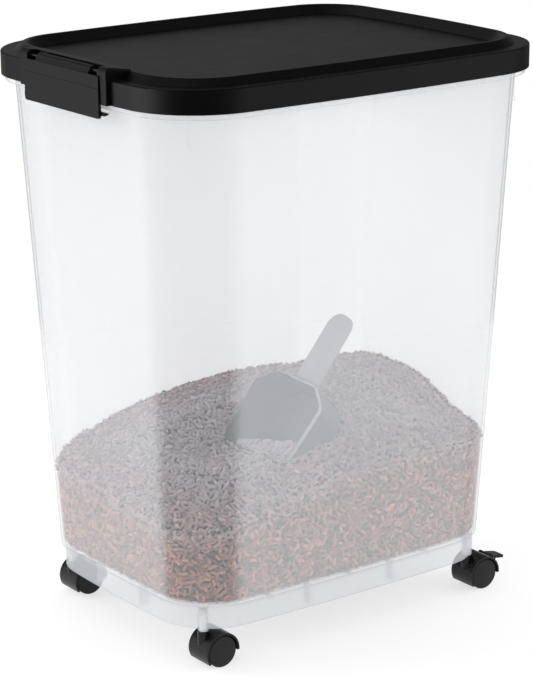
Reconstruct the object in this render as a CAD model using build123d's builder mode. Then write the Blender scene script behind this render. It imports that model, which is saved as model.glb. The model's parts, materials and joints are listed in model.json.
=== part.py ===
"""Rolling pet food bin: translucent tub, hinged black lid with a front latch, four twin-wheel casters,
a loose scoop and the food it stands in. Millimetres, +Z up, origin on the floor under the middle of the
bin, latch at -Y and hinge at +Y."""
from build123d import *
import os
from math import cos, radians, sin

os.makedirs("parts", exist_ok=True)

# ------------------------------------------------------------------ driving dimensions
# lid
lid_half_x = 184.5
lid_half_y = 235.0
lid_bow = 7.0  # how far the middle of each side stands beyond its ends
lid_corner = 80.0
lid_wall = 2.5
skirt_bottom = 559.0
skirt_top = 582.2
ledge_width = 14.0  # flat margin outside the raised ridge
ridge_foot = 7.0  # width of the ridge's outer slope
ridge_crest = 5.0
ridge_slope = 7.0  # width of the slope down to the panel
ridge_top = 589.0
panel_top = 579.7
edge_round = 1.6
crest_round = 2.0
gasket_outer = 6.0
gasket_inner = 10.0
gasket_wall = 1.5

# tub
tub_wall = 2.4
tub_top_x = 174.5
tub_top_y = 225.2
tub_foot_x = 147.9
tub_foot_y = 198.6
tub_top_corner = 77.0
tub_foot_corner = 66.0
tub_foot_bow = 5.5
floor_under = 64.8
floor_top = 67.3
rim_top = 575.2
lip_inset = 3.8  # rim lip's outer face, in from the lid's outer face
lip_thick = 2.2
lip_bottom = 553.4
flange_thick = 2.4
gusset_height = 32.0
gusset_proud = 4.8
gusset_thick = 2.4
gusset_x = 147.0
gusset_y = 194.0

# base skirt and caster sockets
base_inset = 4.2  # in from the tub's foot
base_bottom = 41.0
rib_reach = 13.0
rib_thick = 2.0
floor_rib = 5.0
stem_x = 120.5
stem_y = 170.0
socket_radius = 5.5
socket_bore = 4.2
socket_bottom = 38.5
socket_depth = 22.0

# rear hinge
hinge_y = 236.0
hinge_z = 554.3
hinge_radius = 4.2
hinge_spread = 70.0  # middle of the bin to the middle of each hinge
knuckle_half = 12.0
ear_near = 12.4
ear_far = 18.4
hinge_pin_radius = 1.5
running_gap = 0.08

# latch and its housing on the lid
boss_half = 77.0
boss_front = 238.4
boss_back = 206.0
boss_back_top = 590.6
pocket_half = 62.0
recess_half = 67.2
recess_top = 577.5
latch_back = 235.3  # face of the skirt behind the plate
pocket_floor = 581.0
pocket_rear = -227.2
latch_half = 66.0
latch_front = 240.2
latch_thick = 3.0
latch_bottom = 545.3
latch_shoulder = 574.0  # the plate is thinner above this level
latch_top = 585.5
plate_step = 0.4  # set back of the upper part's face
latch_lip = 1.5  # back of the upper part, from the plate's face
latch_axis_y = 232.6
latch_axis_z = 588.2
barrel_half = 47.0
barrel_radius = 4.2
latch_pin_radius = 1.4
latch_pin_half = 67.0
boss_round = boss_front - latch_axis_y
boss_side_round = 1.5
barrel_shoulder = barrel_radius * sin(radians(45))
boss_top = latch_axis_z + boss_round
hook_half = 71.0
hook_level = 548.5
hook_reach = -232.4

# casters
wheel_radius = 16.5
wheel_inner = 4.5
wheel_outer = 15.0
wheel_dome = 0.7
caster_trail = 12.5
hood_radius = 19.5
hood_inner = 17.4
hood_half = 16.0
hood_rib_half = 4.0
hood_boss_radius = 6.0
hood_top = 37.4
stem_radius = 3.0
stem_foot = 19.0
stem_top = 59.5
collar_radius = 4.6
wheel_hub = 4.0
wheel_web = 2.2
wheel_rim = 2.6
wheel_shoulder = 1.6
axle_radius = 1.5
axle_half = 13.2
lever_half = 8.0
lever_pivot_y = 15.6  # from the wheel axle
lever_pivot_z = 12.6
lever_reach = 34.0
lever_pin_radius = 1.0
lever_barrel = 2.3
cheek_radius = 3.4

# scoop
scoop_tilt = 52.0  # plane of the mouth, from the horizontal
scoop_turn = 4.0
scoop_origin = (42.0, 5.0, 245.0)  # middle of the rim beside the handle
scoop_back = 36.0  # half width of the rim beside the handle
scoop_half = 62.0
scoop_length = 92.0
scoop_depth = 42.0
scoop_wall = 1.8
scoop_shoulder = 19.0  # from the back rim to the widest place
scoop_round = 12.0
scoop_draft = 10.0  # how much narrower each side is at the bottom
scoop_base_length = 57.0
handle_level = 10.0  # handle's top, below the plane of the mouth
handle_edge = 7.0
handle_half = 17.0
handle_length = 81.0
handle_thick = 2.4

# food
heap_radius = 642.0
heap_centre = (-38.0, 57.0, -437.0)
mound_radius = 219.0
mound_centre = (-48.0, 165.0, -7.0)
dip_radius = 150.0
dip_centre = (15.0, -80.0, 321.0)
food_gap = 0.5


# ------------------------------------------------------------------ shared shapes
def bowed_rectangle(half_x, half_y, bow, corner, level):
    """Face of a rounded rectangle whose sides bulge outwards."""
    x = half_x - bow
    y = half_y - bow
    with BuildSketch(Plane.XY.offset(level)) as outline:
        with BuildLine():
            ThreePointArc((-x, -y), (0, -half_y), (x, -y))
            ThreePointArc((x, -y), (half_x, 0), (x, y))
            ThreePointArc((x, y), (0, half_y), (-x, y))
            ThreePointArc((-x, y), (-half_x, 0), (-x, -y))
        make_face()
        fillet(outline.vertices(), corner)
    return outline.sketch


def lid_outline(inset, level):
    """The lid's outline moved in by inset."""
    return bowed_rectangle(lid_half_x - inset, lid_half_y - inset, lid_bow, lid_corner - inset, level)


def lid_band(outer_inset, inner_inset, level):
    """Ring between two of the lid's outlines."""
    with BuildSketch() as band:
        add(lid_outline(outer_inset, 0))
        add(lid_outline(inner_inset, 0), mode=Mode.SUBTRACT)
    return band.sketch.moved(Location((0, 0, level)))


def tub_outline(level, inset=0.0):
    """The tub wall's outer outline at a level, moved in by inset."""
    t = (level - floor_under) / (rim_top - floor_under)
    return bowed_rectangle(
        tub_foot_x + t * (tub_top_x - tub_foot_x) - inset,
        tub_foot_y + t * (tub_top_y - tub_foot_y) - inset,
        tub_foot_bow + t * (lid_bow - tub_foot_bow),
        tub_foot_corner + t * (tub_top_corner - tub_foot_corner) - inset,
        level,
    )


def base_outline(inset):
    """The base skirt's outline at its bottom edge, moved in by inset."""
    inset = inset + base_inset
    return bowed_rectangle(
        tub_foot_x - inset, tub_foot_y - inset, tub_foot_bow, tub_foot_corner - inset, base_bottom
    )


def finish(builder, name):
    """Label the finished piece and write it."""
    builder.part.label = name
    export_step(builder.part, f"parts/{name}.step")


corners = {
    "front_left": (-1, -1),
    "front_right": (1, -1),
    "rear_left": (-1, 1),
    "rear_right": (1, 1),
}

# ------------------------------------------------------------------ tub
with BuildPart() as tub:
    # rim: a flange on top with a lip that hangs from its outer edge
    add(lid_outline(lip_inset, lip_bottom))
    extrude(amount=rim_top - lip_bottom)
    add(lid_outline(lip_inset + lip_thick, lip_bottom))
    extrude(amount=rim_top - flange_thick - lip_bottom, mode=Mode.SUBTRACT)

    # tapered wall, as one block for now
    add(tub_outline(floor_under))
    add(tub_outline(rim_top))
    loft(ruled=True)

    # one gusset under the lip at each corner
    for side_x, side_y in corners.values():
        outward = Vector(side_x, side_y, 0).normalized()
        root = Vector(side_x * gusset_x, side_y * gusset_y, lip_bottom + 3.0)
        with BuildSketch(Plane(origin=root, x_dir=outward, z_dir=outward.cross(Vector(0, 0, 1)))):
            with BuildLine():
                Polyline(
                    (-gusset_proud, 0),
                    (gusset_proud, 0),
                    (gusset_proud, -gusset_height),
                    (-gusset_proud, -gusset_height),
                    close=True,
                )
            make_face()
        extrude(amount=gusset_thick / 2, both=True)

    # ears of the two rear hinges
    for side in (-1, 1):
        for near in (ear_near, -ear_far):
            with BuildSketch(Plane.YZ.offset(side * hinge_spread + near)):
                with BuildLine():
                    Polyline(
                        (hinge_y - 9.0, hinge_z - hinge_radius - 6.0),
                        (hinge_y, hinge_z - hinge_radius),
                        (hinge_y, hinge_z + hinge_radius),
                        (hinge_y - 9.0, hinge_z + hinge_radius),
                        close=True,
                    )
                make_face()
                with Locations((hinge_y, hinge_z)):
                    Circle(hinge_radius)
                    Circle(hinge_pin_radius, mode=Mode.SUBTRACT)
            extrude(amount=ear_far - ear_near)

    # base skirt below the floor
    add(base_outline(0))
    extrude(amount=floor_under - base_bottom)
    add(base_outline(tub_wall))
    extrude(amount=floor_under - base_bottom, mode=Mode.SUBTRACT)

    # shallow ribs under the floor
    with BuildSketch(Plane.XY.offset(floor_under - floor_rib)):
        with GridLocations(0, 100.0, 1, 3):
            Rectangle(2 * (tub_foot_x - base_inset) - 2, rib_thick)
        with GridLocations(120.0, 0, 2, 1):
            Rectangle(rib_thick, 2 * (tub_foot_y - base_inset) - 2)
    extrude(amount=floor_rib)

    # short upright ribs inside the base skirt
    rib_height = floor_under - base_bottom - 1.5
    for side in (-1, 1):
        with BuildSketch(Plane.XY.offset(base_bottom + 1.5)):
            with Locations(*[(side * (tub_foot_x - base_inset - rib_reach / 2 - 1.5), y) for y in (-53, 53)]):
                Rectangle(rib_reach, rib_thick)
            with Locations(*[(x, side * (tub_foot_y - base_inset - rib_reach / 2 - 1.5)) for x in (-40, 40)]):
                Rectangle(rib_thick, rib_reach)
        extrude(amount=rib_height)

    # caster sockets, tied to the skirt by their tangent walls and to the floor by their tops
    for side_x, side_y in corners.values():
        with BuildSketch(Plane.XY.offset(socket_bottom)):
            with Locations((side_x * stem_x, side_y * stem_y)):
                Circle(socket_radius)
        extrude(amount=floor_under - socket_bottom)
        with BuildSketch(Plane.XY.offset(socket_bottom)):
            with Locations((side_x * stem_x, side_y * stem_y)):
                Circle(socket_bore)
        extrude(amount=socket_depth, mode=Mode.SUBTRACT)

    # inside of the tub
    add(tub_outline(floor_top, tub_wall))
    add(tub_outline(rim_top, tub_wall))
    loft(ruled=True, mode=Mode.SUBTRACT)
finish(tub, "tub")

# ------------------------------------------------------------------ lid
with BuildPart() as latch_rod:
    with BuildSketch(Plane.YZ):
        with Locations((-latch_axis_y, latch_axis_z)):
            Circle(latch_pin_radius)
    extrude(amount=latch_pin_half, both=True)
latch_pin_rod = latch_rod.part

# housing for the latch, from the front of the skirt back to the ridge
with BuildPart() as latch_boss:
    with BuildSketch(Plane.YZ.offset(-boss_half)):
        with BuildLine():
            Polyline((-boss_front, skirt_bottom), (-boss_front, latch_axis_z))
            RadiusArc((-boss_front, latch_axis_z), (-latch_axis_y, boss_top), boss_round)
            Polyline(
                (-latch_axis_y, boss_top),
                (-boss_back - ridge_crest, boss_back_top),
                (-boss_back, panel_top),
                (-boss_back, panel_top - lid_wall),
                (1 - lid_half_y, skirt_bottom),
                (-boss_front, skirt_bottom),
            )
        make_face()
    extrude(amount=2 * boss_half)
    side_edges = latch_boss.faces().filter_by(Axis.X).edges().filter_by_position(Axis.Y, -240.0, -221.0)
    fillet(side_edges.filter_by_position(Axis.Z, skirt_bottom + 1, boss_top), boss_side_round)

ridge_inner = ledge_width + ridge_foot + ridge_crest
panel_inset = ridge_inner + ridge_slope
panel_under = panel_top - lid_wall
ledge_under = skirt_top - lid_wall
with BuildPart() as lid_shell:
    # skirt and flat ledge
    add(lid_outline(0, skirt_bottom))
    extrude(amount=skirt_top - skirt_bottom)
    fillet(lid_shell.faces().sort_by(Axis.Z)[-1].edges(), edge_round)

    # raised ridge, with the panel sunk inside it
    add(lid_outline(ledge_width, skirt_top))
    add(lid_outline(ledge_width + ridge_foot, ridge_top))
    loft(ruled=True)
    add(lid_outline(panel_inset, panel_top))
    add(lid_outline(ridge_inner, ridge_top))
    loft(ruled=True, mode=Mode.SUBTRACT)
    fillet(lid_shell.faces().sort_by(Axis.Z)[-1].edges(), crest_round)

    # housing for the latch
    add(latch_boss)

    # hollow underside
    add(lid_outline(lid_wall, skirt_bottom))
    extrude(amount=panel_under - skirt_bottom, mode=Mode.SUBTRACT)
    add(lid_band(lid_wall, ridge_inner - 2.0, panel_under))
    extrude(amount=ledge_under - panel_under, mode=Mode.SUBTRACT)
    with BuildSketch(Plane.XY.offset(panel_under)):
        with Locations((0, -boss_back - 11.0)):
            Rectangle(2 * pocket_half - 6.0, 14.0)
    extrude(amount=8.0, mode=Mode.SUBTRACT)

    # two low walls that hold the gasket
    for inset in (gasket_outer - gasket_wall - 0.3, gasket_inner + 0.3):
        add(lid_band(inset, inset + gasket_wall, panel_under))
        extrude(amount=ledge_under - panel_under)

    # recess for the latch plate, and the pocket its barrel turns in
    with BuildSketch(Plane.XZ.offset(latch_back)):
        with Locations((0, (skirt_bottom + recess_top) / 2)):
            Rectangle(2 * recess_half, recess_top - skirt_bottom)
    extrude(amount=10.0, mode=Mode.SUBTRACT)
    with BuildSketch(Plane.YZ.offset(-pocket_half)):
        with BuildLine():
            Polyline(
                (-boss_front - 2, recess_top - 2),
                (-latch_back, recess_top - 2),
                (-latch_back, pocket_floor),
                (pocket_rear, pocket_floor),
                (pocket_rear, boss_top + 2),
                (-boss_front - 2, boss_top + 2),
                close=True,
            )
        make_face()
    extrude(amount=2 * pocket_half, mode=Mode.SUBTRACT)
    add(latch_pin_rod, mode=Mode.SUBTRACT)

    # knuckles of the two rear hinges
    for side in (-1, 1):
        with BuildSketch(Plane.YZ.offset(side * hinge_spread - knuckle_half)):
            with BuildLine():
                Polyline(
                    (lid_half_y - 2.8, hinge_z),
                    (hinge_y + hinge_radius, hinge_z),
                    (hinge_y + 2.0, hinge_z + 7.0),
                    (lid_half_y - 0.5, hinge_z + 15.0),
                    (lid_half_y - 2.8, hinge_z + 15.0),
                    close=True,
                )
            make_face()
            with Locations((hinge_y, hinge_z)):
                Circle(hinge_radius)
                Circle(hinge_pin_radius + running_gap, mode=Mode.SUBTRACT)
        extrude(amount=2 * knuckle_half)
finish(lid_shell, "lid_shell")

with BuildPart() as lid_gasket:
    add(lid_band(gasket_outer, gasket_inner, rim_top + 0.2))
    extrude(amount=ledge_under - rim_top - 0.2)
finish(lid_gasket, "lid_gasket")

# ------------------------------------------------------------------ hinge pins
for side, name in ((-1, "hinge_pin_left"), (1, "hinge_pin_right")):
    with BuildPart() as hinge_pin:
        with BuildSketch(Plane.YZ.offset(side * hinge_spread)):
            with Locations((hinge_y, hinge_z)):
                Circle(hinge_pin_radius)
        extrude(amount=ear_far, both=True)
        chamfer(hinge_pin.edges().filter_by(GeomType.CIRCLE), 0.3)
    finish(hinge_pin, name)

# ------------------------------------------------------------------ latch
with BuildPart() as front_latch:
    # plate that covers the front of the skirt
    with BuildSketch(Plane.XZ.offset(latch_front)):
        with Locations((0, (latch_bottom + latch_shoulder) / 2)):
            RectangleRounded(2 * latch_half, latch_shoulder - latch_bottom, 3.0)
    extrude(amount=-latch_thick)
    fillet(front_latch.faces().sort_by(Axis.Y)[0].edges(), 0.8)
    with BuildSketch(Plane.XZ.offset(latch_front - plate_step)):
        with Locations((0, (latch_shoulder + latch_top) / 2 - 2.0)):
            RectangleRounded(2 * latch_half - 1.0, latch_top - latch_shoulder + 4.0, 1.5)
    extrude(amount=plate_step - latch_lip)

    # web from the plate up to the barrel
    with BuildSketch(Plane.YZ.offset(-barrel_half)):
        with BuildLine():
            Polyline(
                (latch_lip - latch_front, latch_shoulder - 3.0),
                (latch_thick - latch_front, latch_shoulder - 3.0),
                (-latch_back - 0.8, pocket_floor + 1.0),
                (2.0 - latch_axis_y, latch_axis_z - 3.0),
                (-latch_axis_y, latch_axis_z),
                (-latch_axis_y - barrel_shoulder, latch_axis_z + barrel_shoulder),
                (1.0 - latch_front, latch_top - 0.4),
                close=True,
            )
        make_face()
        with Locations((-latch_axis_y, latch_axis_z)):
            Circle(barrel_radius)
            Circle(latch_pin_radius + running_gap, mode=Mode.SUBTRACT)
    extrude(amount=2 * barrel_half)

    # hook bar across the back of the plate, below the skirt
    with BuildSketch(Plane.YZ.offset(-hook_half)):
        with BuildLine():
            Polyline(
                (latch_thick - latch_front, hook_level),
                (hook_reach, hook_level + 0.8),
                (hook_reach, hook_level + 2.4),
                (latch_thick - latch_front, hook_level + 3.6),
                close=True,
            )
        make_face()
    extrude(amount=2 * hook_half)
finish(front_latch, "front_latch")

with BuildPart() as latch_pin:
    add(latch_pin_rod)
    chamfer(latch_pin.edges().filter_by(GeomType.CIRCLE), 0.3)
finish(latch_pin, "latch_pin")

# ------------------------------------------------------------------ casters
for corner, (side_x, side_y) in corners.items():
    stem = Vector(side_x * stem_x, side_y * stem_y, 0)
    hub = Vector(stem.X, stem.Y + caster_trail, wheel_radius)

    with BuildPart() as caster_stem:
        with BuildSketch(Plane.XZ.offset(-stem.Y)):
            with BuildLine():
                Polyline(
                    (stem.X, stem_foot),
                    (stem.X + stem_radius, stem_foot),
                    (stem.X + stem_radius, hood_top),
                    (stem.X + collar_radius, hood_top),
                    (stem.X + collar_radius, socket_bottom - 0.1),
                    (stem.X + stem_radius, socket_bottom - 0.1),
                    (stem.X + stem_radius, stem_top - 1.5),
                    (stem.X + stem_radius - 1.0, stem_top),
                    (stem.X, stem_top),
                    close=True,
                )
            make_face()
        revolve(axis=Axis(stem, (0, 0, 1)))
    finish(caster_stem, f"stem_{corner}")

    with BuildPart() as grip_ring:
        with BuildSketch(Plane.XY.offset(socket_bottom + 1.0)):
            with Locations(stem):
                Circle(socket_bore)
                Circle(stem_radius + running_gap, mode=Mode.SUBTRACT)
            with Locations(stem + Vector(0, socket_bore, 0)):
                Rectangle(1.2, socket_bore, mode=Mode.SUBTRACT)
        extrude(amount=16.0)
    finish(grip_ring, f"grip_ring_{corner}")

    with BuildPart() as hood:
        # drum over both wheels, and the boss that takes the stem
        with BuildSketch(Plane.YZ.offset(hub.X)):
            with Locations((hub.Y, hub.Z)):
                Circle(hood_radius)
        extrude(amount=hood_half, both=True)
        with BuildSketch(Plane.XY.offset(hub.Z)):
            with Locations(stem):
                Circle(hood_boss_radius)
        extrude(amount=hood_top - hub.Z)
        # wheel wells on both sides of the middle rib
        for side in (-1, 1):
            with BuildSketch(Plane.YZ.offset(hub.X + side * hood_rib_half)):
                with Locations((hub.Y, hub.Z)):
                    Circle(hood_inner)
            extrude(amount=side * hood_half, mode=Mode.SUBTRACT)
        # open underneath: from the axle's level at the trailing side down to the floor at the stem side
        with BuildSketch(Plane.YZ.offset(hub.X)):
            with BuildLine():
                Polyline(
                    (hub.Y + hood_radius + 1, hub.Z - 1.0),
                    (hub.Y, hub.Z - 6.5),
                    (hub.Y - hood_radius - 1, 5.0),
                    (hub.Y - hood_radius - 1, -5.0),
                    (hub.Y + hood_radius + 1, -5.0),
                    close=True,
                )
            make_face()
        extrude(amount=hood_half + 1, both=True, mode=Mode.SUBTRACT)
        # holes for the stem and the axle
        with BuildSketch(Plane.XY.offset(stem_foot)):
            with Locations(stem):
                Circle(stem_radius)
        extrude(amount=hood_top, mode=Mode.SUBTRACT)
        with BuildSketch(Plane.YZ.offset(hub.X)):
            with Locations((hub.Y, hub.Z)):
                Circle(axle_radius + running_gap)
        extrude(amount=hood_half, both=True, mode=Mode.SUBTRACT)
        if side_y > 0:
            # slot and two cheeks for the brake lever
            pivot = (hub.Y + lever_pivot_y, hub.Z + lever_pivot_z)
            with BuildSketch(Plane.YZ.offset(hub.X)):
                with BuildLine():
                    Polyline(
                        (pivot[0] - 4.0, pivot[1] - 8.0),
                        (pivot[0] + 8.0, pivot[1] - 5.0),
                        (pivot[0] + 3.0, pivot[1] + 8.0),
                        (pivot[0] - 6.0, pivot[1] + 3.0),
                        close=True,
                    )
                make_face()
            extrude(amount=lever_half + 0.4, both=True, mode=Mode.SUBTRACT)
            for side in (-1, 1):
                with BuildSketch(Plane.YZ.offset(hub.X + side * (lever_half + 0.4))):
                    with Locations(pivot):
                        Circle(cheek_radius)
                    with Locations((hub.Y, hub.Z)):
                        Circle(hood_inner, mode=Mode.SUBTRACT)
                extrude(amount=side * 2.4)
            with BuildSketch(Plane.YZ.offset(hub.X)):
                with Locations(pivot):
                    Circle(lever_pin_radius)
            extrude(amount=lever_half + 2.8, both=True, mode=Mode.SUBTRACT)
    finish(hood, f"hood_{corner}")

    with BuildPart() as axle:
        with BuildSketch(Plane.YZ.offset(hub.X)):
            with Locations((hub.Y, hub.Z)):
                Circle(axle_radius)
        extrude(amount=axle_half, both=True)
        chamfer(axle.edges().filter_by(GeomType.CIRCLE), 0.3)
    finish(axle, f"axle_{corner}")

    for side, side_name in ((-1, "left"), (1, "right")):
        with BuildPart() as wheel:
            with BuildSketch(Plane(origin=hub, x_dir=(side, 0, 0), z_dir=(0, 0, -side))):
                with BuildLine():
                    Polyline(
                        (axle_half, 0),
                        (axle_half, axle_radius),
                        (wheel_inner, axle_radius),
                        (wheel_inner, wheel_hub),
                        (wheel_outer - wheel_web, wheel_hub),
                        (wheel_outer - wheel_web, wheel_radius - wheel_rim),
                        (wheel_inner, wheel_radius - wheel_rim),
                        (wheel_inner, wheel_radius),
                        (wheel_outer - wheel_shoulder, wheel_radius),
                    )
                    ThreePointArc(
                        (wheel_outer - wheel_shoulder, wheel_radius),
                        (wheel_outer - 0.3 * wheel_shoulder, wheel_radius - 0.3 * wheel_shoulder),
                        (wheel_outer, wheel_radius - wheel_shoulder),
                    )
                    Polyline(
                        (wheel_outer, wheel_radius - wheel_shoulder),
                        (wheel_outer + wheel_dome, wheel_hub),
                        (wheel_outer + wheel_dome, 0),
                        (axle_half, 0),
                    )
                make_face()
            revolve(axis=Axis(hub, (1, 0, 0)))
        finish(wheel, f"wheel_{corner}_{side_name}")

    if side_y > 0:
        pivot = (hub.Y + lever_pivot_y, hub.Z + lever_pivot_z)
        with BuildPart() as brake_lever:
            with BuildSketch(Plane.YZ.offset(hub.X)):
                with BuildLine():
                    Polyline(
                        (pivot[0] - 1.0, pivot[1] - 0.6),
                        (hub.Y + lever_reach, pivot[1] - 3.6),
                        (hub.Y + lever_reach, pivot[1] - 1.2),
                        (pivot[0] + 4.0, pivot[1] + 1.9),
                        (pivot[0] - 1.0, pivot[1] + 1.9),
                        close=True,
                    )
                make_face()
                with Locations(pivot):
                    Circle(lever_barrel)
                    Circle(lever_pin_radius + running_gap, mode=Mode.SUBTRACT)
            extrude(amount=lever_half, both=True)
            fillet(brake_lever.edges().filter_by(Axis.Z).sort_by(Axis.Y)[-2:], 3.0)
        finish(brake_lever, f"brake_lever_{corner}")

        with BuildPart() as brake_pin:
            with BuildSketch(Plane.YZ.offset(hub.X)):
                with Locations(pivot):
                    Circle(lever_pin_radius)
            extrude(amount=lever_half + 2.8, both=True)
        finish(brake_pin, f"brake_pin_{corner}")

# ------------------------------------------------------------------ scoop
scoop_normal = Vector(0, -sin(radians(scoop_tilt)), cos(radians(scoop_tilt)))
scoop_plane = Plane(origin=scoop_origin, x_dir=(1, 0, 0), z_dir=scoop_normal).rotated((0, 0, -scoop_turn))


def scoop_mouth(inset, level):
    """The mouth's outline in the scoop's own plane: narrow at the handle, widest behind the lip."""
    with BuildSketch(scoop_plane.offset(level)) as mouth:
        with BuildLine():
            Polyline(
                (inset - scoop_back, -inset),
                (scoop_back - inset, -inset),
                (scoop_half - inset, -scoop_shoulder),
                (scoop_half - inset - 3.0, inset - scoop_length),
                (inset + 3.0 - scoop_half, inset - scoop_length),
                (inset - scoop_half, -scoop_shoulder),
                close=True,
            )
        make_face()
        fillet(mouth.vertices(), scoop_round - inset)
    return mouth.sketch


def scoop_base(inset, level):
    """The bowl's outline at its bottom, pulled back from the lip."""
    with BuildSketch(scoop_plane.offset(level)) as base:
        with BuildLine():
            Polyline(
                (inset + 4.0 - scoop_back, -inset - 5.0),
                (scoop_back - inset - 4.0, -inset - 5.0),
                (scoop_half - inset - scoop_draft, -scoop_shoulder - 2.0),
                (scoop_half - inset - scoop_draft - 4.0, inset - scoop_base_length),
                (inset + scoop_draft + 4.0 - scoop_half, inset - scoop_base_length),
                (inset + scoop_draft - scoop_half, -scoop_shoulder - 2.0),
                close=True,
            )
        make_face()
        fillet(base.vertices(), scoop_round - inset)
    return base.sketch


with BuildPart() as scoop:
    add(scoop_mouth(0, 0))
    add(scoop_base(0, -scoop_depth))
    loft(ruled=True)
    # handle, a flat tongue with two stiffening edges turned down
    with BuildSketch(scoop_plane.offset(-handle_level - handle_thick)):
        with Locations((0, handle_length / 2 - 5.0)):
            RectangleRounded(2 * handle_half, handle_length + 10.0, handle_half - 2.0)
    extrude(amount=handle_thick)
    with BuildSketch(scoop_plane.offset(-handle_level - handle_edge)):
        with Locations((0, handle_length / 2 - 5.0)):
            RectangleRounded(2 * handle_half, handle_length + 10.0, handle_half - 2.0)
            RectangleRounded(
                2 * (handle_half - handle_thick),
                handle_length + 10.0 - 2 * handle_thick,
                handle_half - 2.0 - handle_thick,
                mode=Mode.SUBTRACT,
            )
    extrude(amount=handle_edge)
    # bowl
    add(scoop_mouth(scoop_wall, 0))
    add(scoop_base(scoop_wall, scoop_wall - scoop_depth))
    loft(ruled=True, mode=Mode.SUBTRACT)
finish(scoop, "scoop")

# ------------------------------------------------------------------ food
with BuildPart() as heap:
    # broad dome, with a steeper mound towards the rear
    with Locations(heap_centre):
        Sphere(heap_radius)
    with Locations(mound_centre):
        Sphere(mound_radius)

with BuildPart() as scoop_hollow:
    # the bowl's own shape
    add(scoop_mouth(-1.0, 1.0))
    add(scoop_base(-1.0, -scoop_depth - 1.0))
    loft(ruled=True)
    # the way out along the handle
    way_out = Plane(origin=scoop_plane.origin, x_dir=scoop_plane.x_dir, z_dir=scoop_plane.y_dir)
    with BuildSketch(way_out.offset(-scoop_shoulder - 2.0)):
        with BuildLine():
            Polyline(
                (-scoop_half - 1.0, -1.0),
                (scoop_half + 1.0, -1.0),
                (scoop_half + 1.0 - scoop_draft, scoop_depth + 1.0),
                (scoop_draft - scoop_half - 1.0, scoop_depth + 1.0),
                close=True,
            )
        make_face()
    extrude(amount=110.0)
    # the way in through the mouth
    add(scoop_mouth(-1.0, 0.5))
    extrude(amount=60.0)

with BuildPart() as kibble_fill:
    add(tub_outline(floor_top + food_gap, tub_wall + food_gap))
    add(tub_outline(mound_centre[2] + mound_radius + 10, tub_wall + food_gap))
    loft(ruled=True)
    add(heap, mode=Mode.INTERSECT)
    with Locations(dip_centre):
        Sphere(dip_radius, mode=Mode.SUBTRACT)
    add(scoop_hollow, mode=Mode.SUBTRACT)
finish(kibble_fill, "kibble_fill")
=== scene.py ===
"""Looks, camera and light of the pet food bin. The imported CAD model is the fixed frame; this script gives
every node its material and fills the tub with loose grains of dry food. Metres, +Z up."""
import json
import math

import bpy
import numpy as np
from mathutils import Matrix, Vector
from mathutils.bvhtree import BVHTree


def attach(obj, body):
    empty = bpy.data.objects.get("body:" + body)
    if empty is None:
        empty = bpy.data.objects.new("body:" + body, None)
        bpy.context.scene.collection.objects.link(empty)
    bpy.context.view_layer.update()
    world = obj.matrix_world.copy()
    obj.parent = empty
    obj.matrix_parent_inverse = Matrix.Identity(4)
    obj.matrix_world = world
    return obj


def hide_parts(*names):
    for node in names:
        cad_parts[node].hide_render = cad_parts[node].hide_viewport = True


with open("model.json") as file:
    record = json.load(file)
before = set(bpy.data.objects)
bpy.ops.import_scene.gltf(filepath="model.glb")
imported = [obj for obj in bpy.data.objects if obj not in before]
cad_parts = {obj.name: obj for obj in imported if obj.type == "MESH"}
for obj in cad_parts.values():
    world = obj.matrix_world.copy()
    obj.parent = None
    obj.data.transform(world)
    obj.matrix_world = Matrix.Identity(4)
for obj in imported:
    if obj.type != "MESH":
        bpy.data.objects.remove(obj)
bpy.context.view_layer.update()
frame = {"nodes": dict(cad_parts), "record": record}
nodes = frame["nodes"]

# ------------------------------------------------------------------ driving values
CAMERA_AZIMUTH = math.radians(53.75)
CAMERA_ELEVATION = math.radians(16.53)
CAMERA_ROLL = math.radians(-0.46)
CAMERA_DISTANCE = 2.522
CAMERA_LENS = 129.1
CAMERA_SHIFT = (-0.0027, 0.0268)
LOOK_AT = Vector((0.0, 0.0, 0.256))

TUB_HAZE = 0.245  # share of light that each surface of the tub scatters
# haze in the strip round the corners, thinner there to paint a dark reflection
TUB_HAZE_REFLECTION_STRIP = 0.14
TUB_HAZE_BASE = 0.38
BASE_BLEND = (0.0662, 0.0678)  # heights between which the haze changes from base to wall
LIGHT_LET_IN = 0.7  # share of the haze that soft light passes, as it is only scattered onward

GRAIN_LENGTH = (0.0068, 0.0094)
GRAIN_RADIUS = (0.0016, 0.0021)
GRAIN_BEND = 0.04
GRAIN_SPACING = 0.0037
GRAIN_RINGS = ((-0.5, 0.0), (-0.36, 0.82), (0.0, 1.0), (0.36, 0.82), (0.5, 0.0))
GRAIN_SIDES = 6
FOOD_BOTTOM = 0.0679

# darkest and palest grain by the wall, then the same well away from it, greyed as a painted haze of the milky
# wall;
# the grey pair also paints light on the heap's top
FOOD_TONES = ((0.19, 0.083, 0.058), (0.51, 0.248, 0.180), (0.36, 0.32, 0.35), (0.51, 0.455, 0.49))
# near-black grains under the wall layer: painted shade in the gaps between grains
GAP_SHADE_TONES = ((0.018, 0.022, 0.027), (0.06, 0.06, 0.065))
TONE_SPREAD = (-0.50, 0.25)
PALE_FROM = 0.004  # distance from the wall at which grains begin to grey, a painted haze
PALE_OVER = 0.060
PALE_UNDER = 0.022  # depth below the heap's top down to which grains are greyed and lightened: painted light on the top
# share of the grey tones on the heap's top: painted light
PALE_TOP = 0.6
CALM = 0.7  # how much of the spread in tone is lost where grains are grey

AT_WALL = 0.0012  # the food's faces this near the tub lie against it
TOP_SLOPE = 0.85
WALL_SLOPE = 0.5
SIDE_SLOPE = 0.7
LOOSE_CLEAR = 0.010
BED_INSET = 0.0045
TOWARD_MIDDLE = 0.985  # draws points on the food's skin inward, so that a line down meets its top

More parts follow.
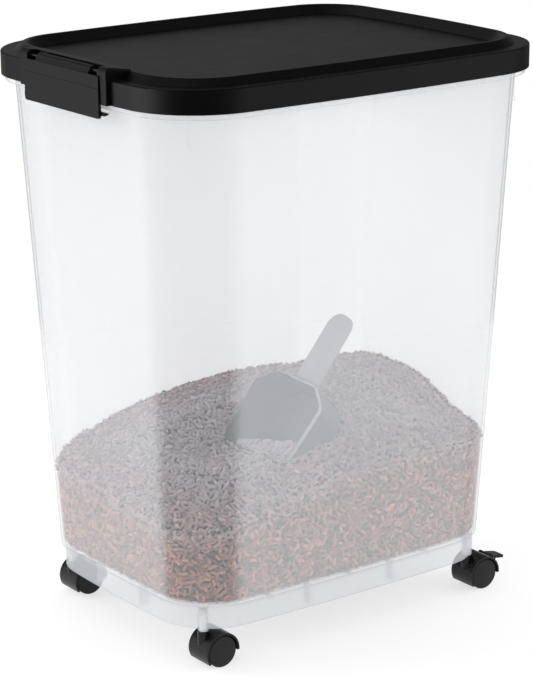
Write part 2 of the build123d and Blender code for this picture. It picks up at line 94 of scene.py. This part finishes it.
# spacing, tries, tilt in degrees, depth under the surface and tones of each kind of layer
LAYERS = {
    "wall": (GRAIN_SPACING, 30000, 7.0, 0.0001, FOOD_TONES),
    "deep": (GRAIN_SPACING, 20000, 20.0, 0.0022, GAP_SHADE_TONES),
    "top": (GRAIN_SPACING, 40000, 22.0, -0.0012, FOOD_TONES),
    "round_scoop": (GRAIN_SPACING * 1.3, 30000, 15.0, 0.0, FOOD_TONES),
    "loose": (0.0075, 8000, 45.0, -0.0050, FOOD_TONES),
}

SCOOP_NORMAL = (0.0, -0.788011, 0.615661)  # out of the scoop's mouth
SCOOP_ACROSS = (0.997564, -0.042947, -0.054970)
SCOOP_ALONG = (0.069756, 0.614162, 0.786091)  # from the lip to the handle
SCOOP_ORIGIN = (0.042, 0.005, 0.245)  # middle of the rim beside the handle
SCOOP_LEVEL = sum(a * b for a, b in zip(SCOOP_ORIGIN, SCOOP_NORMAL))
SCOOP_START = sum(a * b for a, b in zip(SCOOP_ORIGIN, SCOOP_ALONG))
SCOOP_FOOD = ((-0.028, -0.0865), (-0.020, -0.084), (0.013, -0.072), (0.053, -0.060), (0.053, -0.0865))
SPILL_SPACING = GRAIN_SPACING * 0.8
SPILL_TRIES = 4000
SPILL_LEVELS = (0.0022, -0.0005, -0.0035)
SPILL_SHAKE = 0.0008
SPILL_TILT = 14.0

SKY_STRENGTH = 1.0
PANEL_STRENGTH = 2.2
RIGHT_PANEL = 0.35
REAR_WALL = 0.13
FLOOR_RADIUS = 1.1
FLOOR_SIDES = 96
FLOOR_GLOW = 0.66
FLOOR_FADE = (0.40, 1.05)
SEED = 11


# ------------------------------------------------------------------ material helpers
class Nodes:
    """A node tree with short calls for adding nodes to it."""

    def __init__(self, tree):
        self.tree = tree

    def node(self, kind, **values):
        made = self.tree.nodes.new(kind)
        for key, value in values.items():
            if key in made.inputs:
                made.inputs[key].default_value = value
            else:
                setattr(made, key, value)
        return made

    def link(self, source, target):
        self.tree.links.new(source, target)

    def place(self):
        """Where a point is on the object, in metres."""
        return self.node("ShaderNodeTexCoord").outputs["Object"]

    def split(self, vector):
        """The X, Y and Z of a vector."""
        apart = self.node("ShaderNodeSeparateXYZ")
        self.link(vector, apart.inputs[0])
        return apart.outputs

    def along(self, vector, direction):
        """How far a vector reaches along a fixed direction."""
        product = self.node("ShaderNodeVectorMath", operation="DOT_PRODUCT")
        product.inputs[1].default_value = direction
        self.link(vector, product.inputs[0])
        return product.outputs["Value"]

    def noise(self, scale, detail=2.0, roughness=0.5):
        texture = self.node("ShaderNodeTexNoise", Scale=scale, Detail=detail, Roughness=roughness)
        self.link(self.place(), texture.inputs["Vector"])
        return texture.outputs["Fac"]

    def ramp(self, source, low, high, start=0.0, end=1.0):
        """Maps a value that runs from start to end onto low to high."""
        spread = self.node("ShaderNodeMapRange")
        for key, value in (("From Min", start), ("From Max", end), ("To Min", low), ("To Max", high)):
            spread.inputs[key].default_value = value
        self.link(source, spread.inputs["Value"])
        return spread.outputs["Result"]

    def math(self, operation, first, second=None):
        """A maths node on one or two values."""
        made = self.node("ShaderNodeMath", operation=operation)
        for value, socket in ((first, made.inputs[0]), (second, made.inputs[1])):
            if isinstance(value, (int, float)):
                socket.default_value = value
            elif value is not None:
                self.link(value, socket)
        return made.outputs[0]

    def mix(self, factor, first, second, **values):
        """Two colours mixed by a factor; a colour is a tuple or a socket."""
        blend = self.node("ShaderNodeMix", data_type="RGBA", **values)
        if isinstance(factor, float):
            blend.inputs["Factor"].default_value = factor
        else:
            self.link(factor, blend.inputs["Factor"])
        colours = [socket for socket in blend.inputs if socket.type == "RGBA"]
        for value, slot in zip((first, second), colours):
            if isinstance(value, tuple):
                slot.default_value = (*value, 1.0)
            else:
                self.link(value, slot)
        return [socket for socket in blend.outputs if socket.type == "RGBA"][0]


class Shader(Nodes):
    """A new material with a Principled BSDF."""

    def __init__(self, name, **values):
        self.material = bpy.data.materials.new(name)
        self.material.use_nodes = True
        super().__init__(self.material.node_tree)
        self.bsdf = self.tree.nodes["Principled BSDF"]
        for key, value in values.items():
            self.bsdf.inputs[key.replace("_", " ")].default_value = value

    def feed(self, source, name):
        """Gives a value or colour to an input of the surface."""
        self.link(source, self.bsdf.inputs[name])

    def bump(self, height, strength, distance):
        bumped = self.node("ShaderNodeBump", Strength=strength, Distance=distance)
        self.link(height, bumped.inputs["Height"])
        self.feed(bumped.outputs["Normal"], "Normal")


def moulded(name, dark, light, rough, texture_scale, texture_depth, **values):
    """Moulded plastic: fine spark-eroded texture, and patches of slightly different colour and gloss."""
    shader = Shader(name, **values)
    shader.feed(shader.mix(shader.noise(9.0, detail=3.0), dark, light), "Base Color")
    shader.feed(shader.ramp(shader.noise(40.0, detail=4.0), *rough), "Roughness")
    shader.bump(shader.noise(texture_scale, detail=3.0), 0.5, texture_depth)
    return shader.material


def zinc(name):
    """Zinc-plated steel with fine turning marks."""
    shader = Shader(name, Metallic=0.6)
    shader.feed(shader.mix(shader.noise(300.0), (0.80, 0.80, 0.82), (0.92, 0.92, 0.93)), "Base Color")
    shader.feed(shader.ramp(shader.noise(900.0, detail=4.0), 0.25, 0.45), "Roughness")
    shader.bump(shader.noise(1500.0), 0.3, 0.0001)
    return shader.material


def milky(name):
    """Natural polypropylene: see-through with a white haze, and nearly closed in the double-walled base
    skirt. In a strip round the corners that faces the viewer it is clearer and darker grey: a painted dark
    reflection."""
    shader = Shader(name, Roughness=0.22, IOR=1.45)
    normal = shader.split(shader.node("ShaderNodeTexCoord").outputs["Normal"])
    both = shader.math("MULTIPLY", normal[0], normal[1])
    turned = shader.ramp(shader.math("ABSOLUTE", both), 0.0, 1.0, 0.10, 0.28)
    base = shader.ramp(shader.split(shader.place())[2], TUB_HAZE_BASE, 0.0, *BASE_BLEND)
    facing = shader.node("ShaderNodeLayerWeight", Blend=0.5).outputs["Facing"]
    # a strip round the corners that faces the viewer: a painted dark reflection, drawn with thinner haze and
    # darker grey
    reflection_strip = shader.math("MULTIPLY", turned, shader.ramp(facing, 1.0, 0.0, 0.3, 0.6))
    # at grazing angles the haze thickens and the colour turns darker grey: painted shade along the wall's
    # edges
    edge = shader.ramp(facing, 0.0, 0.5, 0.75, 1.0)
    wall = shader.ramp(reflection_strip, TUB_HAZE, TUB_HAZE_REFLECTION_STRIP)
    haze = shader.math("ADD", shader.math("MAXIMUM", wall, base), edge)
    path = shader.node("ShaderNodeLightPath")
    soft = shader.math("MAXIMUM", path.outputs["Is Shadow Ray"], path.outputs["Is Diffuse Ray"])
    let_in = shader.ramp(soft, 1.0, 1.0 - LIGHT_LET_IN)
    shader.feed(shader.math("MULTIPLY", haze, let_in), "Alpha")
    plain = shader.mix(shader.noise(5.0), (0.83, 0.85, 0.885), (0.87, 0.885, 0.915))
    in_base = shader.ramp(base, 0.0, 1.0, 0.0, TUB_HAZE_BASE)
    # darker grey in the corner strip as a painted dark reflection, and darker grey in the base skirt
    reflection_strip_dim = shader.math("MULTIPLY", reflection_strip, 0.6)
    dimmed = shader.math("MAXIMUM", reflection_strip_dim, shader.math("MULTIPLY", in_base, 0.8))
    shaded = shader.mix(dimmed, plain, (0.60, 0.61, 0.64))
    # darker grey at grazing angles: painted shade along the edges
    shader.feed(shader.mix(shader.math("MULTIPLY", edge, 2.0), shaded, (0.40, 0.41, 0.43)), "Base Color")
    shader.bump(shader.noise(18.0, detail=1.0), 0.12, 0.0006)
    return shader.material


def scoop_plastic(name):
    """Grey moulded plastic, dark in the bowl; the handle is painted paler as a painted sheen and the rim pale
    as a painted highlight.
    """
    shader = Shader(name, Roughness=0.22)
    above_mouth = shader.math("SUBTRACT", shader.along(shader.place(), SCOOP_NORMAL), SCOOP_LEVEL)
    past_bowl = shader.math("SUBTRACT", shader.along(shader.place(), SCOOP_ALONG), SCOOP_START)
    # a thin pale band on the rim: painted highlight
    rim = shader.ramp(above_mouth, 0.0, 1.0, -0.0007, -0.0003)
    handle = shader.ramp(past_bowl, 0.0, 1.0, -0.004, 0.006)
    body = shader.mix(shader.noise(30.0, detail=3.0), (0.075, 0.077, 0.084), (0.105, 0.108, 0.116))
    # paler grey along the handle: painted sheen
    handle_sheen = shader.mix(shader.noise(30.0, detail=3.0), (0.31, 0.315, 0.325), (0.37, 0.375, 0.385))
    shader.feed(shader.mix(rim, shader.mix(handle, body, handle_sheen), (0.36, 0.365, 0.375)), "Base Color")
    shader.bump(shader.noise(500.0, detail=3.0), 0.4, 0.00004)
    return shader.material


def black(name, dark, light, *finish):
    """Moulded black plastic with a weak highlight; a shade is its level of grey and its blue."""
    shades = [(grey, grey, blue) for grey, blue in (dark, light)]
    return moulded(name, *shades, *finish, Specular_IOR_Level=0.25)


materials = {
    "translucent": milky("tub_polypropylene"),
    "lid_black": black("lid_plastic", (0.001, 0.0011), (0.002, 0.0021), (0.32, 0.40), 1400.0, 0.00010),
    "latch_black": black("latch_plastic", (0.002, 0.0021), (0.0035, 0.0036), (0.30, 0.38), 1400.0, 0.00006),
    "caster_black": black("hood_nylon", (0.004, 0.0042), (0.007, 0.0072), (0.22, 0.32), 900.0, 0.00006),
    "wheel_black": black("wheel_nylon", (0.006, 0.0062), (0.010, 0.0105), (0.28, 0.38), 700.0, 0.00006),
    "steel": zinc("zinc_steel"),
    "blackened": moulded(
        "blackened_steel", (0.01, 0.01, 0.011), (0.02, 0.02, 0.021), (0.35, 0.45), 900.0, 0.00004
    ),
    "seal": moulded("seal_rubber", (0.10, 0.10, 0.105), (0.13, 0.13, 0.135), (0.6, 0.75), 600.0, 0.0001),
    "scoop_grey": scoop_plastic("scoop_plastic"),
}
slot_of = {part["node"]: part["material_slot"] for part in frame["record"]["subparts"]}
slot_of["latch_pin"] = "blackened"
for name, obj in nodes.items():
    if slot_of[name] in materials:
        obj.data.materials.clear()
        obj.data.materials.append(materials[slot_of[name]])


# ------------------------------------------------------------------ dry food
def food_material():
    """Brown kibble: each grain carries its own tint, with a pitted, matt crust."""
    shader = Shader("kibble_crust", Roughness=0.8)
    tint = shader.node("ShaderNodeAttribute", attribute_name="tint").outputs["Color"]
    speckle = shader.ramp(shader.noise(700.0, detail=3.0, roughness=0.7), 0.0, 1.0)
    pits = shader.mix(speckle, (0.55, 0.48, 0.44), (1.0, 1.0, 1.0))
    shader.feed(shader.mix(0.55, tint, pits, blend_type="MULTIPLY"), "Base Color")
    shader.bump(shader.noise(1200.0, detail=3.0), 0.6, 0.0004)
    return shader.material


def grain_shape():
    """One grain of unit length and unit radius along X: points and triangles."""
    points = [(GRAIN_RINGS[0][0], 0.0, 0.0)]
    for along, radius in GRAIN_RINGS[1:-1]:
        for side in range(GRAIN_SIDES):
            turn = 2 * math.pi * side / GRAIN_SIDES
            points.append((along, radius * math.cos(turn), radius * math.sin(turn)))
    points.append((GRAIN_RINGS[-1][0], 0.0, 0.0))
    last = len(points) - 1
    faces = []
    for side in range(GRAIN_SIDES):
        after = (side + 1) % GRAIN_SIDES
        faces.append((0, 1 + after, 1 + side))
        faces.append((last, last - GRAIN_SIDES + side, last - GRAIN_SIDES + after))
        for ring in range(len(GRAIN_RINGS) - 3):
            a = 1 + ring * GRAIN_SIDES + side
            b = 1 + ring * GRAIN_SIDES + after
            faces.append((a, b, b + GRAIN_SIDES))
            faces.append((a, b + GRAIN_SIDES, a + GRAIN_SIDES))
    return np.array(points), np.array(faces)


def mesh_arrays(obj):
    """Corner points and triangles of an object's mesh."""
    mesh = obj.data
    mesh.calc_loop_triangles()
    vertices = np.array([tuple(v.co) for v in mesh.vertices])
    triangles = np.array([tuple(t.vertices) for t in mesh.loop_triangles])
    return vertices, triangles


def search_tree(vertices, triangles):
    """A tree that finds the nearest place on a triangle mesh."""
    return BVHTree.FromPolygons([Vector(v) for v in vertices], triangles.tolist())


def distances(tree, points):
    """How far each point is from a mesh."""
    return np.array([tree.find_nearest(Vector(p))[3] for p in points])


def heap_over(points):
    """How far the heap's top is above each point, along a line straight up."""
    down = Vector((0, 0, -1.0))
    hits = [heap_tree.ray_cast(Vector(p) - down, down)[0] for p in points * TOWARD_MIDDLE]
    return np.array([0.0 if hit is None else hit.z - p[2] for hit, p in zip(hits, points)])


def spread_points(vertices, triangles, spacing, tries):
    """Points at least a spacing apart on a triangle mesh, with the normal under each."""
    corners = vertices[triangles]
    edge_a = corners[:, 1] - corners[:, 0]
    edge_b = corners[:, 2] - corners[:, 0]
    across = np.cross(edge_a, edge_b)
    area = np.maximum(np.linalg.norm(across, axis=1), 1e-15)
    picked = chance.choice(len(triangles), size=tries, p=area / area.sum())
    u = chance.random(tries)
    v = chance.random(tries)
    fold = u + v > 1
    u[fold] = 1 - u[fold]
    v[fold] = 1 - v[fold]
    points = corners[picked, 0] + edge_a[picked] * u[:, None] + edge_b[picked] * v[:, None]
    normals = across[picked] / area[picked, None]
    cells = {}
    kept = []
    steps = [(i, j, k) for i in (-1, 0, 1) for j in (-1, 0, 1) for k in (-1, 0, 1)]
    for index, cell in enumerate(map(tuple, np.floor(points / spacing).astype(int))):
        near = (cells.get((cell[0] + i, cell[1] + j, cell[2] + k)) for i, j, k in steps)
        if all(o is None or np.linalg.norm(points[o] - points[index]) >= spacing for o in near):
            cells[cell] = index
            kept.append(index)
    return points[kept], normals[kept]


def grain_corners(points, normals, tilt, sink):
    """The corners of one grain under each point, lying roughly flat, each with its own size and bend."""
    count = len(points)
    helper = np.where(np.abs(normals[:, 2:3]) > 0.7, [[1.0, 0.0, 0.0]], [[0.0, 0.0, 1.0]])
    side = np.cross(normals, helper)
    side /= np.linalg.norm(side, axis=1)[:, None]
    up = np.cross(normals, side)
    heading = chance.uniform(0, math.pi, count)[:, None]
    lean = np.radians(chance.normal(0, tilt, count))[:, None]
    flat = side * np.cos(heading) + up * np.sin(heading)
    along = flat * np.cos(lean) + normals * np.sin(lean)
    out = normals * np.cos(lean) - flat * np.sin(lean)
    wide = np.cross(out, along)
    length = chance.uniform(*GRAIN_LENGTH, count)
    radius = chance.uniform(*GRAIN_RADIUS, count)
    bend = chance.uniform(-GRAIN_BEND, GRAIN_BEND, count)
    depth = radius + sink + 0.5 * length * np.abs(np.sin(lean[:, 0]))
    centre = points - normals * depth[:, None]
    length, radius, bend = (value[:, None, None] for value in (length, radius, bend))
    unit_x, unit_y, unit_z = (grain_points[None, :, k : k + 1] for k in range(3))
    x = unit_x * length
    y = unit_y * radius + bend * length * unit_x**2 * 2
    z = unit_z * radius
    made = centre[:, None] + along[:, None] * x + wide[:, None] * y + out[:, None] * z
    made[:, :, 2] += np.maximum(0.0, FOOD_BOTTOM - made[:, :, 2].min(axis=1))[:, None]
    return made


def grain_tints(points, tones):
    """A colour for the grain at each point, greyed with distance from the wall as a painted haze and
    lightened near the heap's top as painted light.
    """
    shade = chance.random(len(points))[:, None]
    pale = np.clip((distances(wall_tree, points)[:, None] - PALE_FROM) / PALE_OVER, 0.0, 1.0)
    low, high = np.array(tones[0]), np.array(tones[1])
    if len(tones) == 4:
        # grains near the heap's top take the grey tones: painted light on the top
        near_top = np.clip(1.0 - heap_over(points)[:, None] / PALE_UNDER, 0.0, 1.0)
        pale = np.maximum(pale, PALE_TOP * near_top)
        low = low * (1 - pale) + np.array(tones[2]) * pale
        high = high * (1 - pale) + np.array(tones[3]) * pale
    tint = low * (1 - shade) + high * shade
    return tint * (1.0 + chance.uniform(*TONE_SPREAD, (len(points), 1)) * (1.0 - CALM * pale))


def pour(name, points, normals, tilt, sink, tones, body="bin"):
    """One mesh of grains under the points of a surface, which moves with a body."""
    count = len(points)
    corners = grain_corners(points, normals, tilt, sink)
    faces = grain_faces[None] + (np.arange(count) * len(grain_points))[:, None, None]
    mesh = bpy.data.meshes.new(name)
    mesh.from_pydata(corners.reshape(-1, 3).tolist(), [], faces.reshape(-1, 3).tolist())
    colours = np.ones((count, len(grain_points), 4))
    colours[:, :, :3] = grain_tints(points, tones)[:, None]
    attribute = mesh.color_attributes.new("tint", "FLOAT_COLOR", "POINT")
    attribute.data.foreach_set("color", colours.reshape(-1))
    mesh.polygons.foreach_set("use_smooth", [True] * len(mesh.polygons))
    mesh.materials.append(food)
    grains = bpy.data.objects.new(name, mesh)
    bpy.context.scene.collection.objects.link(grains)
    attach(grains, body)


def strew(name, mask, kind, clear_of=()):
    """A layer of grains on some of the food's faces, clear of the meshes of some trees."""
    spacing, tries, tilt, sink, tones = LAYERS[kind]
    points, outward = spread_points(heap_points, heap_triangles[mask], spacing, tries)
    for tree in clear_of:
        far = distances(tree, points) > LOOSE_CLEAR
        points, outward = points[far], outward[far]
    pour(name, points, outward, tilt, sink, tones)


food = food_material()
chance = np.random.default_rng(SEED)
grain_points, grain_faces = grain_shape()
heap = nodes["kibble_fill"]
heap_points, heap_triangles = mesh_arrays(heap)
heap_tree = search_tree(heap_points, heap_triangles)
wall_tree = search_tree(*mesh_arrays(nodes["tub"]))
scoop_tree = search_tree(*mesh_arrays(nodes["scoop"]))

corners = heap_points[heap_triangles]
normals = np.cross(corners[:, 1] - corners[:, 0], corners[:, 2] - corners[:, 0])
normals /= np.maximum(np.linalg.norm(normals, axis=1), 1e-15)[:, None]
middles = corners.mean(axis=1)
by_wall = distances(wall_tree, middles) < AT_WALL
top = ~by_wall & (normals[:, 2] > TOP_SLOPE)
walls = by_wall & (np.abs(normals[:, 2]) < WALL_SLOPE)
round_scoop = ~by_wall & ~top
zones = {
    "front": walls & (normals[:, 1] < -SIDE_SLOPE),
    "right": walls & (normals[:, 0] > SIDE_SLOPE),
    "back": walls & (normals[:, 1] > SIDE_SLOPE),
    "left": walls & (normals[:, 0] < -SIDE_SLOPE),
}
for zone, mask in zones.items():
    strew(f"kibble_{zone}", mask, "wall")
    # a near-black layer beneath, painted shade between the grains
    strew(f"kibble_{zone}_deep", mask, "deep")
strew("kibble_top_left", top & (middles[:, 0] < 0), "top")
strew("kibble_top_right", top & (middles[:, 0] >= 0), "top")
strew("kibble_round_scoop", round_scoop, "round_scoop")

# food that has run over the lip into the corner of the scoop
fan = np.array([[SCOOP_FOOD[0], a, b] for a, b in zip(SCOOP_FOOD[1:-1], SCOOP_FOOD[2:])])
flat_points = np.concatenate([fan.reshape(-1, 2), np.zeros((fan.size // 2, 1))], axis=1)
flat_triangles = np.arange(len(flat_points)).reshape(-1, 3)
spill, _ = spread_points(flat_points, flat_triangles, SPILL_SPACING, SPILL_TRIES)
basis = np.array([SCOOP_ACROSS, SCOOP_ALONG, SCOOP_NORMAL])
for layer, level in enumerate(SPILL_LEVELS):
    lifted = spill + [0.0, 0.0, level]
    lifted[:, 2] += chance.uniform(-SPILL_SHAKE, SPILL_SHAKE, len(spill))
    placed = np.array(SCOOP_ORIGIN) + lifted @ basis
    outward = np.tile(SCOOP_NORMAL, (len(placed), 1))
    pour(f"kibble_scoop_{layer}", placed, outward, SPILL_TILT, 0.0, FOOD_TONES, "scoop")

# loose grains on the heap, clear of the walls, of the scoop and of its way out
way_out = search_tree(heap_points, heap_triangles[round_scoop])
strew("kibble_loose", top, "loose", (wall_tree, way_out, scoop_tree))

# the closed bed under the grains stands for the food of the CAD model; it is near black, a painted shade deep
# in the food
bed = heap.copy()
bed.data = heap.data.copy()
bed.name = "kibble_bed"
bpy.context.scene.collection.objects.link(bed)
bed.parent = None
for vertex, normal in zip(bed.data.vertices, [v.normal.copy() for v in bed.data.vertices]):
    vertex.co -= normal * BED_INSET
shadow = Shader("kibble_shadow", Roughness=0.9)
shadow.feed(
    shadow.mix(shadow.noise(250.0, detail=3.0), (0.014, 0.018, 0.022), (0.035, 0.038, 0.042)), "Base Color"
)
shadow.bump(shadow.noise(300.0, detail=2.0), 1.0, 0.002)
bed.data.materials.clear()
bed.data.materials.append(shadow.material)
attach(bed, "bin")
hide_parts("kibble_fill")

# ------------------------------------------------------------------ camera
toward_camera = Vector((math.sin(CAMERA_AZIMUTH), -math.cos(CAMERA_AZIMUTH), 0.0))
right = Vector((math.cos(CAMERA_AZIMUTH), math.sin(CAMERA_AZIMUTH), 0.0))
back = toward_camera * math.cos(CAMERA_ELEVATION) + Vector((0.0, 0.0, math.sin(CAMERA_ELEVATION)))
upright = back.cross(right)
rolled_right = right * math.cos(CAMERA_ROLL) + upright * math.sin(CAMERA_ROLL)
rolled_up = upright * math.cos(CAMERA_ROLL) - right * math.sin(CAMERA_ROLL)
pose = Matrix((rolled_right, rolled_up, back)).transposed().to_4x4()
pose.translation = LOOK_AT + back * CAMERA_DISTANCE
camera_data = bpy.data.cameras.new("camera")
camera_data.sensor_width = 36.0
camera_data.lens = CAMERA_LENS
camera_data.shift_x, camera_data.shift_y = CAMERA_SHIFT
camera = bpy.data.objects.new("camera", camera_data)
camera.matrix_world = pose
bpy.context.scene.collection.objects.link(camera)
bpy.context.scene.camera = camera


# ------------------------------------------------------------------ light and floor
def softbox(name, place, aim, size, power):
    """Rectangular area light that points at a place and isn't seen in reflections."""
    data = bpy.data.lights.new(name, "AREA")
    data.shape = "RECTANGLE"
    data.size, data.size_y = size
    data.energy = power
    light = bpy.data.objects.new(name, data)
    light.location = place
    light.rotation_euler = (Vector(aim) - Vector(place)).to_track_quat("-Z", "Y").to_euler()
    light.visible_glossy = False
    bpy.context.scene.collection.objects.link(light)


def studio(name):
    """White all round for the camera and for soft light; reflections see a dark side behind the camera,
    bright panels left and right, and a dim wall at the back."""
    world = bpy.data.worlds.new(name)
    world.use_nodes = True
    sky = Nodes(world.node_tree)
    direction = sky.node("ShaderNodeTexCoord").outputs["Generated"]
    ahead = sky.along(direction, toward_camera)
    across = sky.along(direction, right)
    dark_side = sky.ramp(ahead, 1.0, 0.0, 0.3, 0.75)
    rear_wall = sky.ramp(ahead, REAR_WALL, 1.0, -0.5, 0.15)
    sides = sky.ramp(across, 1.0, RIGHT_PANEL, -0.3, 0.3)
    panels = sky.math("MULTIPLY", sky.math("MULTIPLY", dark_side, rear_wall), sides)
    overhead = sky.ramp(sky.split(direction)[2], 1.0, 0.15, 0.35, 0.75)
    mirrored = sky.math("MULTIPLY", sky.math("MULTIPLY", panels, overhead), PANEL_STRENGTH)
    glossy = sky.node("ShaderNodeLightPath").outputs["Is Glossy Ray"]
    kept = sky.ramp(glossy, SKY_STRENGTH, 0.0)
    background = sky.tree.nodes["Background"]
    sky.link(sky.math("ADD", kept, sky.math("MULTIPLY", glossy, mirrored)), background.inputs["Strength"])
    background.inputs["Color"].default_value = (1.0, 1.0, 1.0, 1.0)
    return world


def floor_paint():
    """White paint under the bin that takes its shadow, and fades into an even glow further out."""
    shader = Shader("floor_paint", Roughness=0.9, Specular_IOR_Level=0.0, Emission_Color=(1.0, 1.0, 1.0, 1.0))
    out_from = shader.node("ShaderNodeVectorMath", operation="LENGTH")
    shader.link(shader.place(), out_from.inputs[0])
    reach = out_from.outputs["Value"]
    shader.feed(shader.ramp(reach, FLOOR_GLOW, 1.0, *FLOOR_FADE), "Emission Strength")
    white = shader.mix(shader.noise(3.0), (0.39, 0.39, 0.39), (0.41, 0.41, 0.41))
    shader.feed(shader.mix(shader.ramp(reach, 0.0, 1.0, *FLOOR_FADE), white, (0.0, 0.0, 0.0)), "Base Color")
    return shader.material


bpy.context.scene.world = studio("studio")
bpy.context.scene.view_settings.view_transform = "Standard"
bpy.context.scene.cycles.transparent_max_bounces = 24

turns = [2 * math.pi * side / FLOOR_SIDES for side in range(FLOOR_SIDES)]
ring = [(FLOOR_RADIUS * math.cos(turn), FLOOR_RADIUS * math.sin(turn), 0.0) for turn in turns]
floor_mesh = bpy.data.meshes.new("floor")
floor_mesh.from_pydata(ring, [], [tuple(range(FLOOR_SIDES))])
floor_mesh.materials.append(floor_paint())
floor = bpy.data.objects.new("floor", floor_mesh)
bpy.context.scene.collection.objects.link(floor)

softbox("side_left", (-2.4, -2.6, 1.6), (0, 0, 0.3), (2.2, 1.6), 45.0)
softbox("side_right", (2.6, 2.2, 1.6), (0, 0, 0.3), (2.2, 1.6), 12.0)
